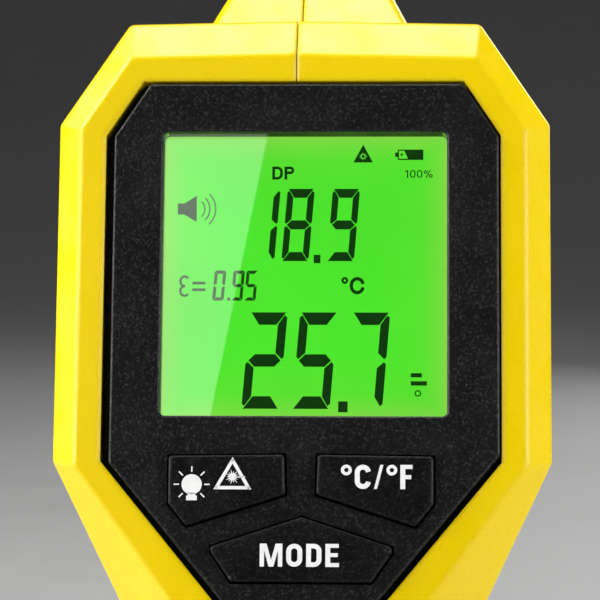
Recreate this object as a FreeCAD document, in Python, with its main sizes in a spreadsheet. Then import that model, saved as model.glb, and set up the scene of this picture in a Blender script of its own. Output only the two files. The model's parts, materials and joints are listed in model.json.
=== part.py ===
import FreeCAD, Part
# Infrared thermometer: a pistol-grip instrument in a two-half clamshell casing.
# Frame: +X to the right for a person reading the display, +Y along the line of sight, +Z up.
# The origin is the centre of the grip's base, at the mouth of the tripod thread.
# Lengths are in millimetres and angles in degrees.
import math
import os

import Sketcher
from FreeCAD import Placement, Rotation, Vector

# ---------------------------------------------------------------- driving dimensions

DIMENSIONS = {
    # The display panel leans back by this angle; its centre is the panel frame's origin.
    # In the panel frame, x is right, y is up along the panel and z points out at the reader.
    "lean": 15,
    "panel_y": 12,
    "panel_z": 117,
    # casing: the flat ring around the panel (ridge) and the outer edge behind it (rim)
    "wall": 2.4,
    "seam_x": -0.7,
    "seam_gap": 0.22,
    "seam_depth": 0.45,
    "rim_peak": 29.2,
    "rim_top": 28.8,
    "rim_top_half": 19.5,
    "rim_side": 27.15,
    "rim_side_top": 17.25,
    "bevel_depth": 3.3,
    "top_bevel": 4.8,
    "diagonal_bevel": 3.03,
    "side_bevel": 2.8,
    # the lower sides of the ridge and the rim are long slopes that run down into the grip
    "slope_high": 0,
    "slope_high_half": 39.85,
    "ridge_grip": 9,
    "ridge_grip_top": -42,
    "grip_half": 17,
    "grip_top": -41.6,
    "grip_end": -126,
    "grip_depth": 38,
    "slope_angle": 28.4,
    "bevel_angle": 40.4,
    "front_angle": 45,
    "front_half": 11,
    "front_top": 3,
    "above_head": 40,
    "rim_radius": 1.1,
    "ridge_radius": 0.5,
    # barrel, in the object's frame
    "axis_z": 131,
    "barrel_rear": 30,
    "barrel_rear_z": 139.5,
    "barrel_foot": 32.4,
    "barrel_foot_z": 141,
    "barrel_crest": 46.5,
    "barrel_top": 152.8,
    "barrel_front": 90,
    "barrel_bottom": 111,
    "barrel_top_half": 6.5,
    "barrel_shoulder_z": 133.8,
    "barrel_half": 17,
    "barrel_hip_z": 118,
    "barrel_bottom_half": 11,
    "barrel_radius": 1.5,
    # casing screws run along X through posts at these (y, z) places
    "post_radius": 3,
    "screw_bore": 1.15,
    "screw_radius": 0.85,
    "screw_head": 2.2,
    "screw_head_height": 1.8,
    "screw_seat": 8,
    "screw_tip": -7,
    # panel opening, panel frame
    "opening_top": 21.4,
    "opening_top_half": 17.64,
    "opening_side": 21.63,
    "opening_high": 15.3,
    "opening_low": -20.6,
    "opening_foot": -39,
    "opening_foot_half": 6.4,
    # black display bezel, which sits a little to the right in its opening
    "bezel_face": 0.25,
    "bezel_back": -2.4,
    "bezel_top": 21.05,
    "bezel_top_right": 17.54,
    "bezel_top_left": -16.84,
    "bezel_right": 21.43,
    "bezel_left": -20.7,
    "bezel_high": 15.15,
    "bezel_low_right": -19.9,
    "bezel_low_left": -20.8,
    "bezel_foot": -38.5,
    "bezel_foot_half": 5.96,
    "bezel_corner": 0.5,
    "bezel_edge": 0.35,
    "flange_margin": 1.2,
    "flange_back": -3.4,
    "window_x": 0.24,
    "window_half": 15.55,
    "window_half_height": 15.68,
    "window_corner": 0.6,
    "window_face": -0.45,
    "window_back": -1.8,
    "window_bevel": 0.2,
    "lcd_half": 17.25,
    "lcd_back": -4.2,
    "lcd_frame_half": 19,
    "lcd_frame_half_height": 18.6,
    "lcd_frame_wall": 1.7,
    "light_half": 16.5,
    "light_low": -14.6,
    "light_back": -6.8,
    "zebra_half": 16,
    "zebra_low": -17.1,
    "zebra_high": -15.3,
    "board_face": -8.6,
    "board_back": -10.2,
    "board_half": 22.4,
    "board_top": 17.5,
    "board_waist": -18,
    "board_foot": -35.5,
    "board_foot_half": 13.5,
    "stud_x": 20.9,
    "stud_high": 13,
    "stud_low": -14,
    "stud_radius": 1.6,
    "stud_bore": 0.7,
    "stud_head": 1.4,
    # keys, panel frame
    "key_shift": 0.1,
    "key_outer": 14.2,
    "key_inner_high": 1.8,
    "key_inner_low": 1.66,
    "key_top_outer": -20.1,
    "key_top_inner": -19.95,
    "key_low_inner": -24.2,
    "key_apex_x": 12.29,
    "key_apex": -27.6,
    "key_low_outer": -25.2,
    "mode_shift": 0.2,
    "mode_apex": -26.63,
    "mode_side": 9.67,
    "mode_side_high": -29.8,
    "mode_side_low": -30.4,
    "mode_foot": -33.55,
    "mode_foot_half": 7.51,
    "key_face": 1.05,
    "key_gap": 0.22,
    "key_corner": 0.35,
    "key_edge": 0.25,
    "key_flange": 0.8,
    "key_flange_top": -2.7,
    "key_flange_back": -3.6,
    "key_stem_radius": 1.5,
    "key_stem_end": -6.6,
    "key_stem_x": 8,
    "key_stem_y": -23.3,
    "mode_stem_y": -30.6,
    "tact_half": 3,
    "tact_face": -5.2,
    "tact_bore": 1.75,
    "tact_bore_end": -7.4,
    # optics on the axis of the barrel
    "nose_front": 96,
    "nose_chamfer": 3,
    "spigot_back": 85,
    "spigot_play": 0.1,
    "cone_radius": 11.5,
    "throat_radius": 8.2,
    "throat_end": 87,
    "tube_radius": 10,
    "tube_bore": 7.6,
    "tube_back": 46,
    "tube_wall_end": 48.5,
    "lens_seat": 81.8,
    "lens_radius": 8.8,
    "lens_edge": 1.2,
    "lens_crown": 2.2,
    "ring_back": 84,
    "ring_bore": 7.9,
    "can_flange": 4.6,
    "can_flange_end": 49,
    "can_cap": 4.1,
    "can_end": 53,
    "can_window": 1.25,
    "pin_circle": 2.54,
    "sensor_board_radius": 12,
    "sensor_board_back": 44.4,
    "laser_offset": 14,
    "laser_radius": 3,
    "laser_back": 72,
    "laser_front": 84.8,
    "laser_bore": 1.2,
    "laser_bore_depth": 3,
    "beam_radius": 2.2,
    "pane_radius": 2.7,
    "pane_back": 94.7,
    "pane_front": 95.6,
    "carrier_thickness": 2.4,
    "front_carrier": 76,
    "rear_carrier": 48.6,
    # air sensor under the barrel
    "vent_back": 56,
    "vent_front": 71,
    "vent_half": 6,
    "vent_height": 0.9,
    "vent_hole_back": 57.5,
    "vent_hole_front": 69.5,
    "vent_hole_half": 4.6,
    "slot_pitch": 2.4,
    "slot_width": 1.1,
    "air_board_back": 56.8,
    "air_board_front": 70.2,
    "air_board_half": 5.5,
    "air_board_thickness": 1,
    "air_chip_half": 1.5,
    "air_chip_back": 62,
    # trigger and its switch
    "pivot_y": 45,
    "pivot_z": 105.6,
    "pivot_radius": 1.25,
    "pivot_play": 0.05,
    "pivot_pin_half": 10,
    "pivot_boss": 2.75,
    "trigger_half": 6.8,
    "trigger_round": 1.2,
    "slot_half": 7.4,
    "trigger_bay_half": 7.2,
    "slot_back": 34,
    "slot_low": 80.5,
    "switch_half": 2.9,
    "switch_back": 28.6,
    "switch_front": 35.1,
    "switch_low": 89,
    "switch_high": 101.8,
    "plunger_z": 98,
    "plunger_half": 1.2,
    "plunger_half_height": 0.7,
    "plunger_back": 33.6,
    "plunger_front": 36.2,
    "plunger_play": 0.1,
    "plunger_bore": 32.5,
    "bracket_half": 10,
    "bracket_back": 26,
    "bracket_low": 81,
    "bracket_high": 103,
    "seat_front": 36,
    "seat_half": 3,
    "seat_low": 82.4,
    "seat_high": 88.4,
    "spring_z": 85.4,
    "spring_radius": 2.2,
    "spring_wire": 0.5,
    "spring_front": 48.7,
    # battery bay in the grip, panel frame
    "door_low": -106,
    "door_high": -54,
    "door_rear": -31.5,
    "door_gap": 0.25,
    "door_top_gap": 0.5,
    "hinge_depth": -38.4,
    "knuckle_radius": 1.8,
    "knuckle_play": 0.25,
    "knuckle_half": 4.8,
    "knuckle_end": 9.5,
    "hinge_pin_radius": 0.8,
    "hinge_play": 0.05,
    "rib_half": 6,
    "rib_width": 1.2,
    "rib_height": 0.5,
    "rib_first": -60,
    "rib_pitch": 2.6,
    "battery_half": 13.25,
    "battery_low": -103.5,
    "battery_high": -55,
    "battery_rear": -13.5,
    "battery_front": -31,
    "battery_corner": 1.5,
    "terminal_x": 6.35,
    "terminal_radius": 2.9,
    "terminal_height": 1.5,
    "snap_height": 3.5,
    "snap_half": 12.5,
    "tray_half": 12.3,
    "tray_rear": -12.2,
    "tray_wall": 1.3,
    "tray_high": -52,
    # grip pads, panel frame
    "grip_pad_low": -102,
    "grip_pad_high": -51,
    "grip_pad_rear": -16.4,
    "grip_pad_front": -30.2,
    "grip_pad_corner": 3,
    "grip_pad_recess": 0.8,
    "grip_pad_proud": 0.6,
    "grip_groove_pitch": 5,
    "grip_groove_width": 1.2,
    "grip_groove_depth": 0.5,
    # tripod bush
    "bush_radius": 5.5,
    "bush_height": 8.5,
    "bush_bore": 2.55,
    "bush_bore_depth": 7,
    "bush_boss": 7,
}
POSTS = {
    "Crest": (58, 146.5),
    "Chin": (54.6, 117),
    "Heart": (23, 90),
    "Waist": (19, 66.5),
    "Base": (-8.5, 6),
}
for post, (post_y, post_z) in POSTS.items():
    DIMENSIONS[f"{post.lower()}_post_y"] = post_y
    DIMENSIONS[f"{post.lower()}_post_z"] = post_z

doc = FreeCAD.newDocument("infrared_thermometer")
sheet = doc.addObject("Spreadsheet::Sheet", "Dims")
for row, (alias, number) in enumerate(DIMENSIONS.items(), start=1):
    sheet.set(f"A{row}", alias)
    sheet.set(f"B{row}", str(number))
    sheet.setAlias(f"B{row}", alias)
doc.recompute()


class Size:
    """A number together with the spreadsheet expression that it comes from."""

    def __init__(self, value, text):
        self.value = value
        self.text = text

    def __add__(self, other):
        other = as_size(other)
        return Size(self.value + other.value, f"({self.text} + {other.text})")

    def __sub__(self, other):
        other = as_size(other)
        return Size(self.value - other.value, f"({self.text} - {other.text})")

    def __mul__(self, factor):
        factor = as_size(factor)
        return Size(self.value * factor.value, f"({self.text} * {factor.text})")

    def __neg__(self):
        return self * -1

    __radd__ = __add__
    __rmul__ = __mul__


def as_size(item):
    if isinstance(item, Size):
        return item
    return Size(float(item), f"({item:.12f})")


class Dimensions:
    """Reads the spreadsheet: d.wall is the cell with the alias wall."""

    def __getattr__(self, alias):
        return Size(float(sheet.get(alias)), f"Dims.{alias}")


d = Dimensions()
NOTHING = as_size(0)
SIDES = (("Left", -1), ("Right", 1))
WORLD = Placement()
PANEL = Placement(
    Vector(0, d.panel_y.value, d.panel_z.value), Rotation(Vector(1, 0, 0), 90 - d.lean.value)
)

# ---------------------------------------------------------------- modelling helpers


def both_sides(right):
    """Close an outline whose right half runs from top to bottom."""
    right = [(as_size(x), as_size(y)) for x, y in right]
    left = [(-x, y) for x, y in reversed(right) if x.value != 0]
    return right + left


def grown(points, amount):
    """Move every side of an outline outwards by amount (inwards where it is negative)."""
    points = [(as_size(x), as_size(y)) for x, y in points]
    corners = [Vector(x.value, y.value, 0) for x, y in points]
    following = corners[1:] + corners[:1]
    area = sum(a.x * b.y - b.x * a.y for a, b in zip(corners, following))
    turn = math.copysign(1, area)
    moved = []
    for index, (x, y) in enumerate(points):
        before = corners[index] - corners[index - 1]
        after = following[index] - corners[index]
        normal_before = Vector(before.y, -before.x, 0).normalize() * turn
        normal_after = Vector(after.y, -after.x, 0).normalize() * turn
        mitre = (normal_before + normal_after) * (1 / (1 + normal_before.dot(normal_after)))
        moved.append((x + amount * mitre.x, y + amount * mitre.y))
    return moved


def new_body(name, place):
    body = doc.addObject("PartDesign::Body", name)
    body.Label = name
    body.Placement = place
    return body


def new_sketch(body, name, plane, level):
    """A sketch on one of the body's own origin planes, moved along its axis to level."""
    sketch = body.newObject("Sketcher::SketchObject", name)
    role = f"{plane}_Plane"
    support = next(item for item in body.Origin.OriginFeatures if item.Role == role)
    sketch.AttachmentSupport = [(support, "")]
    sketch.MapMode = "FlatFace"
    offset = -level if plane == "XZ" else level
    sketch.setExpression("AttachmentOffset.Base.z", offset.text)
    return sketch


def pin_point(sketch, geometry, which, x, y):
    """Bind a point's two coordinates to spreadsheet expressions."""
    for kind, size in (("DistanceX", x), ("DistanceY", y)):
        row = sketch.addConstraint(Sketcher.Constraint(kind, -1, 1, geometry, which, size.value))
        sketch.setExpression(f"Constraints[{row}]", size.text)


def draw_outline(sketch, points):
    points = [(as_size(x), as_size(y)) for x, y in points]
    first = sketch.GeometryCount
    corners = [Vector(x.value, y.value, 0) for x, y in points]
    for start, end in zip(corners, corners[1:] + corners[:1]):
        sketch.addGeometry(Part.LineSegment(start, end))
    count = len(points)
    for index in range(count):
        following = first + (index + 1) % count
        sketch.addConstraint(Sketcher.Constraint("Coincident", first + index, 2, following, 1))
    for index, (x, y) in enumerate(points):
        pin_point(sketch, first + index, 1, x, y)


def pad(body, sketch, length, reverse=False):
    feature = body.newObject("PartDesign::Pad", f"{body.Name}Pad")
    feature.Profile = sketch
    feature.setExpression("Length", length.text)
    feature.Reversed = reverse
    return feature


def prism(name, plane, points, low, high, place=WORLD):
    """An outline extruded from low to high along the axis that its plane leaves out."""
    low, high = as_size(low), as_size(high)
    body = new_body(name, place)
    sketch = new_sketch(body, f"{name}Outline", plane, high if plane == "XZ" else low)
    draw_outline(sketch, points)
    pad(body, sketch, high - low)
    return body


def flared(name, points, level, depth, angle, backwards):
    """A panel-frame outline that widens by angle as it runs through the casing from level."""
    body = new_body(name, PANEL)
    level = as_size(level)
    sketch = new_sketch(body, f"{name}Outline", "XY", level)
    draw_outline(sketch, points)
    block = pad(body, sketch, depth, reverse=backwards)
    doc.recompute()
    sides = []
    for number, face in enumerate(block.Shape.Faces, start=1):
        heights = [vertex.Z for vertex in face.Vertexes]
        if max(heights) - min(heights) > 1:
            sides.append(f"Face{number}")
        elif abs(heights[0] - level.value) < 0.01:
            start_face = f"Face{number}"
    draft = body.newObject("PartDesign::Draft", f"{name}Draft")
    draft.Base = (block, sides)
    draft.NeutralPlane = (block, [start_face])
    draft.setExpression("Angle", angle.text)
    draft.Reversed = not backwards
    return body


def combine(kind, name, base, tool):
    result = doc.addObject(kind, name)
    result.Base = base
    result.Tool = tool
    return result


def common(name, *items):
    result = items[0]
    for index, item in enumerate(items[1:]):
        result = combine("Part::Common", f"{name}Common{index}", result, item)
    return result


def fuse(name, *items):
    result = doc.addObject("Part::MultiFuse", name)
    result.Shapes = list(items)
    result.Refine = True
    return result


def cut(name, base, *tools):
    """Take the tools away from base, one after another."""
    result = base
    for index, tool in enumerate(tools, start=1):
        step = name if index == len(tools) else f"{name}Step{index}"
        result = combine("Part::Cut", step, result, tool)
    return result


def block(name, low, high, place=WORLD):
    """A box between two corners."""
    low = [as_size(item) for item in low]
    high = [as_size(item) for item in high]
    box = doc.addObject("Part::Box", name)
    for edge, start, end in zip(("Length", "Width", "Height"), low, high):
        box.setExpression(edge, (end - start).text)
    box.Placement = place * Placement(Vector(*(item.value for item in low)), Rotation())
    return box


TURNS = {
    "X": Rotation(Vector(0, 1, 0), 90),
    "Y": Rotation(Vector(1, 0, 0), -90),
    "Z": Rotation(),
}


def rod(name, axis, start, length, radius, place=WORLD):
    """A cylinder that starts at a point and runs along one axis of its frame."""
    cylinder = doc.addObject("Part::Cylinder", name)
    cylinder.setExpression("Radius", as_size(radius).text)
    cylinder.setExpression("Height", as_size(length).text)
    point = Vector(*(as_size(item).value for item in start))
    cylinder.Placement = place * Placement(point, TURNS[axis])
    return cylinder


def turned(name, profile, place=WORLD):
    """A profile of (radius, y) corners turned about the Y axis of its frame."""
    body = new_body(name, place)
    sketch = new_sketch(body, f"{name}Profile", "XY", NOTHING)
    draw_outline(sketch, profile)
    feature = body.newObject("PartDesign::Revolution", f"{name}Turn")
    feature.Profile = sketch
    feature.ReferenceAxis = (sketch, ["V_Axis"])
    feature.Angle = 360
    return body


def rounded(name, base, choose, radius, kind="Part::Fillet"):
    """Round (or chamfer) the edges of base that choose accepts."""
    doc.recompute()
    result = doc.addObject(kind, name)
    result.Base = base
    size = as_size(radius).value
    result.Edges = [
        (number, size, size) for number, edge in enumerate(base.Shape.Edges, start=1)
        if choose(edge)
    ]
    return result


def ends(edge, place=WORLD):
    """An edge's end points in the frame of place."""
    back = place.inverse()
    return [back.multVec(vertex.Point) for vertex in edge.Vertexes]


def lies_at(edge, axis, level, place=WORLD):
    return all(abs(getattr(point, axis) - level.value) < 0.01 for point in ends(edge, place))


def runs_along(edge, axis, place=WORLD):
    points = ends(edge, place)
    if len(points) < 2:
        return False
    span = points[1] - points[0]
    others = [name for name in "xyz" if name != axis]
    return all(abs(getattr(span, name)) < 0.01 for name in others)


PARTS = {}


def part(label, item):
    """Name a finished sub-part: the label names its file."""
    item.Label = label
    PARTS[label] = item
    return item


# ---------------------------------------------------------------- casing forms


def tangent(angle):
    return math.tan(math.radians(angle.value))


def height_on_side(points, x):
    """The height at which an outline's second side, its long slope, reaches x."""
    (high_x, high_y), (low_x, low_y) = points[1:3]
    share = (x.value - low_x.value) / (high_x.value - low_x.value)
    return low_y + (high_y - low_y) * share


def wall_share(angle):
    """How far a sloped face's edge steps in when its wall is measured square to the face."""
    slope = math.radians(angle.value)
    return (1 - math.sin(slope)) / math.cos(slope)


def edge_kind(edge):
    """Which side of the head's outline a rear edge runs along: its slope tells."""
    start, end = (vertex.Point for vertex in edge.Vertexes)
    run = abs(end.x - start.x)
    rise = abs(end.y - start.y)
    if rise < 0.1 * run:
        return "Top" if start.y > 0 else "Bottom"
    if run < 0.1 * rise:
        return "Side" if abs(start.x) > 10 else "Seam"
    return "Diagonal"


def bevelled_half(name, side, inset):
    """One half of the head behind its rim outline, bevelled down from the flat rear ring."""
    outline = [
        (d.seam_x, d.rim_peak),
        (side * d.rim_top_half, d.rim_top),
        (side * d.rim_side, d.rim_side_top),
        (side * d.rim_side, d.grip_end),
        (d.seam_x, d.grip_end),
    ]
    outline = [(x, y) for x, y in grown(outline, -inset)]
    outline[0] = (d.seam_x, outline[0][1])
    outline[-1] = (d.seam_x, outline[-1][1])
    body = new_body(name, PANEL)
    sketch = new_sketch(body, f"{name}Outline", "XY", -inset)
    draw_outline(sketch, outline)
    block = pad(body, sketch, d.grip_depth, reverse=True)
    kept = 1 - wall_share(d.bevel_angle)
    depth = d.bevel_depth - inset * kept
    bevels = (("Top", d.top_bevel), ("Diagonal", d.diagonal_bevel), ("Side", d.side_bevel))
    for kind, across in bevels:
        doc.recompute()
        across = across - inset * kept
        edges = [
            f"Edge{number}" for number, edge in enumerate(block.Shape.Edges, start=1)
            if all(abs(vertex.Z + inset.value) < 0.01 for vertex in edge.Vertexes)
            and edge_kind(edge) == kind
        ]
        bevel = body.newObject("PartDesign::Chamfer", f"{name}{kind}Bevel")
        bevel.Base = (block, edges)
        bevel.ChamferType = "Two distances"
        bevel.setExpression("Size", across.text)
        bevel.setExpression("Size2", depth.text)
        doc.recompute()
        swapped = -inset.value - across.value
        if any(abs(vertex.Z - swapped) < 0.01 for vertex in bevel.Shape.Vertexes):
            bevel.FlipDirection = True
        block = bevel
    return body


def head_and_grip(name, inset):
    """Both halves of the head and grip, with every face moved in by inset."""
    slopes = both_sides([
        (d.slope_high_half, d.above_head),
        (d.slope_high_half, d.slope_high),
        (d.ridge_grip, d.ridge_grip_top),
        (d.ridge_grip, d.grip_end),
    ])
    rim_low = height_on_side(grown(slopes, d.bevel_depth * tangent(d.slope_angle)), d.rim_side)
    flank_half = d.rim_side + (d.rim_side - d.grip_half)
    flanks = both_sides([
        (flank_half, d.above_head),
        (flank_half, rim_low + (rim_low - d.grip_top)),
        (d.grip_half, d.grip_top),
        (d.grip_half, d.grip_end),
    ])
    front = both_sides([(d.front_half, d.front_top), (d.front_half, d.grip_end)])
    slope = flared(
        f"{name}Slope", grown(slopes, inset * -wall_share(d.slope_angle)), -inset,
        d.grip_depth, d.slope_angle, True,
    )
    front_flare = flared(
        f"{name}Front", grown(front, inset * -wall_share(d.front_angle)),
        inset - d.grip_depth, d.grip_depth, d.front_angle, False,
    )
    plan = prism(f"{name}Plan", "XY", grown(flanks, -inset), -d.grip_depth, 0, PANEL)
    above = doc.addObject("Part::Box", f"{name}AboveBase")
    above.Length = above.Width = above.Height = 200
    above.Placement.Base = Vector(-100, -60, 0)
    above.setExpression("Placement.Base.z", inset.text)
    halves = []
    for label, side in SIDES:
        half = bevelled_half(f"{name}{label}", side, inset)
        halves.append(common(f"{name}{label}", half, plan, slope, front_flare, above))
    return halves


def barrel(name, inset):
    """The barrel, with every face moved in by inset."""
    profile = [
        (d.barrel_rear, d.barrel_bottom),
        (d.barrel_rear, d.barrel_rear_z),
        (d.barrel_foot, d.barrel_foot_z),
        (d.barrel_crest, d.barrel_top),
        (d.barrel_front, d.barrel_top),
        (d.barrel_front, d.barrel_bottom),
    ]
    end = prism(f"{name}Section", "XZ", grown(barrel_outline(), -inset), 0, d.barrel_front)
    side = prism(f"{name}Profile", "YZ", grown(profile, -inset), -d.barrel_half, d.barrel_half)
    return common(name, end, side)


def optical_axis(y=0):
    return Placement(Vector(0, y, d.axis_z.value), Rotation())


def barrel_outline():
    """The barrel's section: a flat top, steep shoulders and chamfered bottom corners."""
    return both_sides([
        (d.barrel_top_half, d.barrel_top),
        (d.barrel_half, d.barrel_shoulder_z),
        (d.barrel_half, d.barrel_hip_z),
        (d.barrel_bottom_half, d.barrel_bottom),
    ])


def post_places():
    for post in POSTS:
        yield (post, getattr(d, f"{post.lower()}_post_y"), getattr(d, f"{post.lower()}_post_z"))


# ---------------------------------------------------------------- grip pads


def grip_pad(label, side):
    """A rubber pad let into the side of the grip, with grooves across it."""
    name = f"GripPad{label}"
    inner = d.grip_half - d.grip_pad_recess
    outer = d.grip_half + d.grip_pad_proud
    low, high = (-outer, -inner) if side < 0 else (inner, outer)
    outline = [
        (d.grip_pad_high, d.grip_pad_rear),
        (d.grip_pad_low, d.grip_pad_rear),
        (d.grip_pad_low, d.grip_pad_front),
        (d.grip_pad_high, d.grip_pad_front),
    ]
    blank = prism(f"{name}Blank", "YZ", outline, low, high, PANEL)
    blank = rounded(
        f"{name}Corners", blank, lambda edge: runs_along(edge, "x", PANEL), d.grip_pad_corner
    )
    grooves = []
    bottom = outer - d.grip_groove_depth
    ends_x = (-outer, -bottom) if side < 0 else (bottom, outer)
    count = int((d.grip_pad_high - d.grip_pad_low).value // d.grip_groove_pitch.value)
    for index in range(1, count):
        centre = d.grip_pad_low + d.grip_groove_pitch * index
        grooves.append(block(
            f"{name}Groove{index}",
            (ends_x[0], centre - d.grip_groove_width * 0.5, d.grip_pad_front),
            (ends_x[1], centre + d.grip_groove_width * 0.5, d.grip_pad_rear),
            PANEL,
        ))
    return blank, cut(name, blank, *grooves)


# ---------------------------------------------------------------- casing


def soften_head(name, half):
    """Round a half's edges: tight on the flat rear ring, softer elsewhere, none at the seam."""
    doc.recompute()
    result = doc.addObject("Part::Fillet", name)
    result.Base = half
    edges = []
    for number, edge in enumerate(half.Shape.Edges, start=1):
        if lies_at(edge, "x", d.seam_x) or lies_at(edge, "z", NOTHING):
            continue
        touches_ring = any(abs(point.z) < 0.01 for point in ends(edge, PANEL))
        size = d.ridge_radius.value if touches_ring else d.rim_radius.value
        edges.append((number, size, size))
    result.Edges = edges
    return result


def soften_barrel(name, item):
    """Round the barrel's long edges and its rear facet."""
    def chosen(edge):
        points = ends(edge)
        return len(points) > 1 and max(abs(point.y - d.barrel_front.value) for point in points) > 1
    return rounded(name, item, chosen, d.barrel_radius)


def casing_posts():
    """Screw posts, trigger pivot bosses and the boss round the tripod bush."""
    span = d.rim_side * 2
    items = [
        rod(f"{post}Post", "X", (-d.rim_side, y, z), span, d.post_radius)
        for post, y, z in post_places()
    ]
    bosses = rod("PivotBoss", "X", (-d.rim_side, d.pivot_y, d.pivot_z), span, d.pivot_boss)
    bay = block(
        "PivotBay",
        (-d.trigger_bay_half, d.pivot_y - 5, d.pivot_z - 5),
        (d.trigger_bay_half, d.pivot_y + 5, d.pivot_z + 5),
    )
    items.append(cut("PivotBosses", bosses, bay))
    items.append(rod("BushBoss", "Z", (0, 0, 0), d.bush_height + 1, d.bush_boss))
    return fuse("Posts", *items)


def casing_openings():
    """Everything that is cut out of both casing halves."""
    opening = both_sides([
        (d.opening_top_half, d.opening_top),
        (d.opening_side, d.opening_high),
        (d.opening_side, d.opening_low),
        (d.opening_foot_half, d.opening_foot),
    ])
    tools = [
        prism("PanelOpening", "XY", opening, -d.wall - 1, 1, PANEL),
        prism(
            "Mouth", "XZ", grown(barrel_outline(), -d.wall), d.front_carrier, d.barrel_front + 1
        ),
        block(
            "TriggerSlot",
            (-d.slot_half, d.slot_back, d.slot_low),
            (d.slot_half, d.barrel_front, d.barrel_bottom),
        ),
        block(
            "VentHole",
            (-d.vent_hole_half, d.vent_hole_back, d.barrel_bottom - 1),
            (d.vent_hole_half, d.vent_hole_front, d.barrel_bottom + d.wall + 1),
        ),
        block(
            "DoorOpening",
            (-d.rim_side, d.door_low, -d.grip_depth - 5),
            (d.rim_side, d.door_high, d.door_rear),
            PANEL,
        ),
        rod("PivotBore", "X", (-d.pivot_pin_half, d.pivot_y, d.pivot_z), d.pivot_pin_half * 2,
            d.pivot_radius),
        prism("BushSeat", "XY", bush_outline(), -1, d.bush_height),
    ]
    return tools


def screw_holes(side):
    """Pilot holes in the left half; clearance holes with deep head wells in the right half."""
    for post, y, z in post_places():
        if side < 0:
            yield rod(f"{post}Pilot", "X", (d.screw_tip, y, z), -d.screw_tip, d.screw_radius)
        else:
            yield rod(f"{post}Bore", "X", (d.screw_tip, y, z), d.rim_side, d.screw_bore)
            yield rod(f"{post}Head", "X", (d.screw_seat, y, z), d.rim_side, d.screw_head)


def bush_outline():
    """The hexagon that keeps the tripod bush from turning in the casing."""
    corners = [math.radians(60 * index + 30) for index in range(6)]
    return [
        (d.bush_radius * math.cos(corner), d.bush_radius * math.sin(corner)) for corner in corners
    ]


def seam_groove():
    """A fine groove that follows the parting line round the outside."""
    core = fuse("SeamCore", *head_and_grip("SeamCoreHead", d.seam_depth),
                barrel("SeamCoreBarrel", d.seam_depth))
    slab = block(
        "SeamSlab",
        (d.seam_x - d.seam_gap * 0.5, -60, -1),
        (d.seam_x + d.seam_gap * 0.5, d.barrel_front, 200),
    )
    return cut("SeamGroove", slab, core)


def hinge_rod(name, start, end, radius):
    """A cylinder on the battery door's hinge line."""
    return rod(name, "X", (start, d.door_low, d.hinge_depth), end - start, radius, PANEL)


def casing():
    """The two casing halves and the battery door, all cut from one hollow form."""
    outer = []
    rounded_barrel = soften_barrel("RoundBarrel", barrel("OuterBarrel", NOTHING))
    for (label, side), half in zip(SIDES, head_and_grip("OuterHead", NOTHING)):
        far = d.rim_side * side
        low, high = (far - 1, d.seam_x) if side < 0 else (d.seam_x, far + 1)
        room = block(f"{label}Room", (low, 0, 0), (high, d.nose_front, 200))
        soft = soften_head(f"{label}Soft", half)
        outer.append(fuse(f"{label}Outer", soft, common(f"{label}Barrel", rounded_barrel, room)))
    hollow = fuse("Hollow", *head_and_grip("InnerHead", d.wall), barrel("InnerBarrel", d.wall))
    posts = casing_posts()
    openings = casing_openings()
    groove = seam_groove()
    door_notch = hinge_rod(
        "DoorKnuckleNotch", -d.knuckle_half - d.knuckle_play, d.knuckle_half + d.knuckle_play,
        d.knuckle_radius + d.knuckle_play,
    )
    pin_bore = hinge_rod("PinBore", -d.knuckle_end, d.knuckle_end, d.hinge_pin_radius)
    for (label, side), form in zip(SIDES, outer):
        shell = cut(f"{label}Shell", form, hollow)
        low, high = (-d.rim_side - 1, d.seam_x) if side < 0 else (d.seam_x, d.rim_side + 1)
        room = block(f"{label}PostRoom", (low, -60, 0), (high, d.nose_front, 200))
        own_posts = common(f"{label}Posts", posts, form, room)
        near, far = d.knuckle_half + d.knuckle_play, d.knuckle_end
        start, end = (-far, -near) if side < 0 else (near, far)
        knuckle = hinge_rod(f"{label}Knuckle", start, end, d.knuckle_radius)
        recess, pad_body = grip_pad(label, side)
        part(f"grip_pad_{label.lower()}", pad_body)
        solid = fuse(f"{label}Solid", shell, own_posts)
        bare = cut(f"{label}Cut", solid, *openings, *screw_holes(side), recess, groove)
        half = fuse(f"{label}Half", bare, knuckle)
        part(f"casing_{label.lower()}", cut(f"Casing{label}", half, door_notch, pin_bore))
    battery_door(fuse("WholeOuter", *outer), hollow)


def battery_door(form, hollow):
    """The front of the grip, which swings open on knuckles at its lower edge."""
    room = block(
        "DoorRoom",
        (-d.rim_side, d.door_low + d.door_gap, -d.grip_depth - 5),
        (d.rim_side, d.door_high - d.door_top_gap, d.door_rear - d.door_gap),
        PANEL,
    )
    shell = cut("DoorShell", common("DoorForm", form, room), hollow)
    ribs = [
        block(
            f"DoorRib{index}",
            (-d.rib_half, d.rib_first - d.rib_pitch * index, -d.grip_depth - d.rib_height),
            (d.rib_half, d.rib_first - d.rib_pitch * index + d.rib_width, 1 - d.grip_depth.value),
            PANEL,
        )
        for index in range(4)
    ]
    notches = [
        hinge_rod(
            f"DoorNotch{index}", start, end, d.knuckle_radius + d.knuckle_play
        )
        for index, (start, end) in enumerate((
            (-d.knuckle_end - d.knuckle_play, -d.knuckle_half),
            (d.knuckle_half, d.knuckle_end + d.knuckle_play),
        ))
    ]
    knuckle = hinge_rod("DoorKnuckle", -d.knuckle_half, d.knuckle_half, d.knuckle_radius)
    solid = fuse("DoorSolid", cut("DoorNotched", shell, *notches), knuckle, *ribs)
    bore = hinge_rod(
        "DoorBore", -d.knuckle_end, d.knuckle_end, d.hinge_pin_radius + d.hinge_play
    )
    part("battery_door", cut("BatteryDoor", solid, bore))
    pin = hinge_rod("DoorPin", -d.knuckle_end, d.knuckle_end, d.hinge_pin_radius)
    part("door_hinge_pin", pin)


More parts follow.
